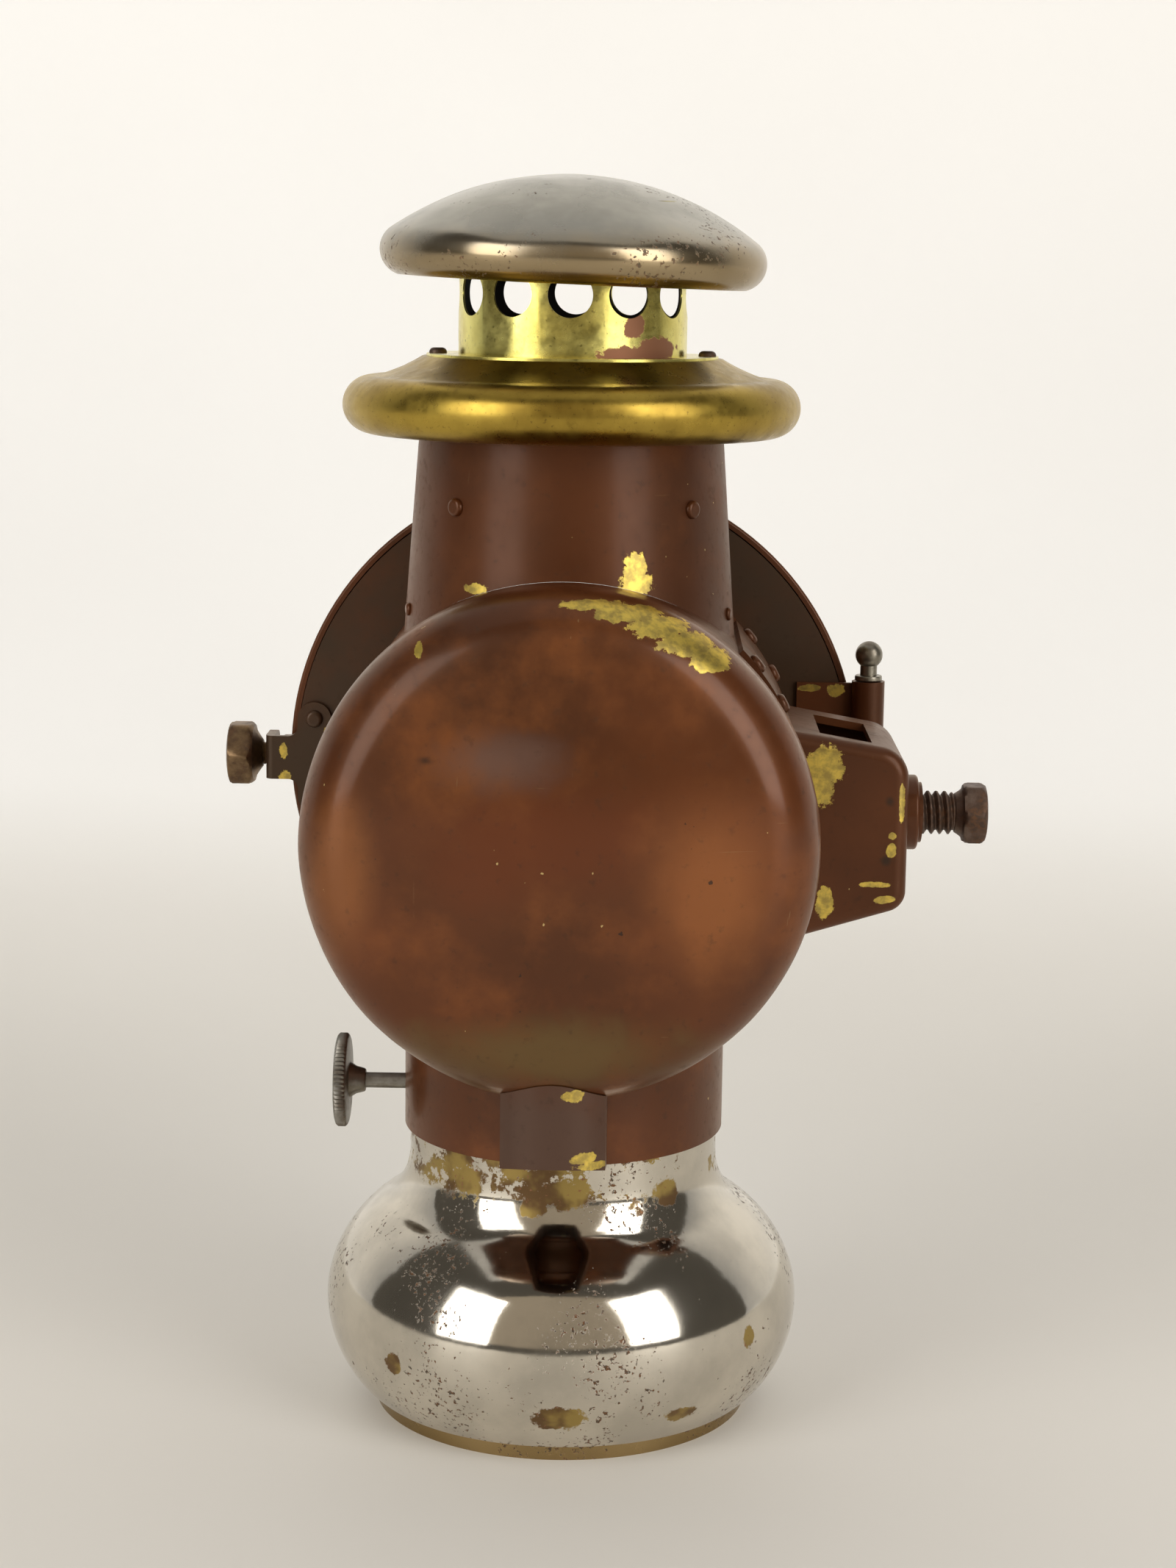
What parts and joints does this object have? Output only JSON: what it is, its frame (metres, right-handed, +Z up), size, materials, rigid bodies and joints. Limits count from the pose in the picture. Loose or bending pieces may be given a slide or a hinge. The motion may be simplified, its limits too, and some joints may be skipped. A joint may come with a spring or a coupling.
{
  "type": "oil side lamp",
  "caption": "Oil side lamp with a squat plated fount, brown drum body, rolled crown, vented hood, hinged lens door and a bracket socket with a clamp screw.",
  "frame": {"origin": "centre of the foot ring on the surface the lamp stands on", "axes": "+Z up along the chimney, -Y towards the lens, -X towards the bracket socket and door hinge"},
  "size_m": [0.1861, 0.156, 0.2902],
  "materials": {
    "nickel": "worn mirror nickel plate",
    "hood_nickel": "satin nickel with brass showing at the rim",
    "brown_lacquer": "dark copper-brown lacquer over brass, semi-gloss",
    "crown_brass": "satin golden brass",
    "vent_brass": "bright worn brass",
    "door_brass": "polished brass, aged",
    "inner_brass": "dull sooty brass",
    "steel": "grey steel, a little rusty",
    "rusty_steel": "dark brown patinated steel",
    "silvered": "silvered reflector",
    "glass": "clear moulded glass",
    "gasket": "woven asbestos-type cord",
    "wick_cotton": "flat cotton wick, charred at the top"
  },
  "bodies": {
    "fount": {"foot_ring": "nickel", "fount_bowl": "nickel", "fount_top": "inner_brass", "filler_neck": "inner_brass", "burner_body": "inner_brass", "wick_tube": "inner_brass", "draught_cone": "inner_brass"},
    "filler_cap": {"filler_cap": "inner_brass"},
    "winder": {"wick_spindle": "steel", "wick_sprockets": "steel", "wick_knob": "steel"},
    "wick": {"wick": "wick_cotton"},
    "lamp_body": {"drum_shell": "brown_lacquer", "back_dome": "brown_lacquer", "reflector": "silvered", "front_flange": "brown_lacquer", "lower_collar": "brown_lacquer", "collar_stop_ring": "brown_lacquer", "air_scoop": "brown_lacquer", "chimney_shell": "brown_lacquer", "inner_flue": "inner_brass", "chimney_rivets": "brown_lacquer", "crown_ring": "crown_brass", "vent_collar": "vent_brass", "hood": "hood_nickel", "crown_rivets": "rusty_steel", "bracket_saddle": "brown_lacquer", "bracket_socket": "brown_lacquer", "clamp_boss": "brown_lacquer", "saddle_rivets": "brown_lacquer", "hinge_body_leaf": "brown_lacquer", "hinge_rivets": "brown_lacquer", "latch_strap": "brown_lacquer", "latch_rivets": "brown_lacquer"},
    "clamp_pad": {"clamp_pad": "rusty_steel"},
    "clamp_screw": {"clamp_screw": "rusty_steel"},
    "door": {"door_ring": "door_brass", "lens_glass": "glass", "lens_gasket": "gasket", "lens_retaining_ring": "door_brass", "hinge_door_leaf": "brown_lacquer", "latch_lug": "door_brass"},
    "hinge_pin": {"hinge_pin": "steel"},
    "latch_screw": {"latch_screw": "rusty_steel"}
  },
  "joints": [
    {"name": "body_lift", "type": "slide", "parent": "fount", "child": "lamp_body", "axis": [0, 0, 1], "range_m": [0, 0.08]},
    {"name": "filler_cap_lift", "type": "slide", "parent": "fount", "child": "filler_cap", "axis": [0, 0, 1], "range_m": [0, 0.01]},
    {"name": "wick_turn", "type": "hinge", "parent": "fount", "child": "winder", "pos_m": [0, 0, 0.0767], "axis": [1, 0, 0], "range_deg": [-140, 60]},
    {"name": "wick_rise", "type": "slide", "parent": "fount", "child": "wick", "axis": [0, 0, 1], "range_m": [-0.0045, 0.01]},
    {"name": "door_swing", "type": "hinge", "parent": "lamp_body", "child": "door", "pos_m": [-0.0737, -0.0483, 0.1472], "axis": [0, 0, -1], "range_deg": [0, 120]},
    {"name": "hinge_pin_lift", "type": "slide", "parent": "lamp_body", "child": "hinge_pin", "axis": [0, 0, 1], "range_m": [0, 0.046]},
    {"name": "latch_unscrew", "type": "slide", "parent": "lamp_body", "child": "latch_screw", "axis": [1, 0, 0], "range_m": [0, 0.006]},
    {"name": "clamp_slide", "type": "slide", "parent": "lamp_body", "child": "clamp_pad", "axis": [1, 0, 0], "range_m": [-0.0035, 0.0083]},
    {"name": "clamp_turn", "type": "hinge", "parent": "clamp_pad", "child": "clamp_screw", "pos_m": [-0.085, 0, 0.1442], "axis": [1, 0, 0], "range_deg": [-640, 1500]}
  ],
  "couplings": [
    {"joint": "wick_rise", "follows": "wick_turn", "m_per_rad": -0.0039},
    {"joint": "clamp_slide", "follows": "clamp_turn", "m_per_rad": 0.00031194}
  ]
}
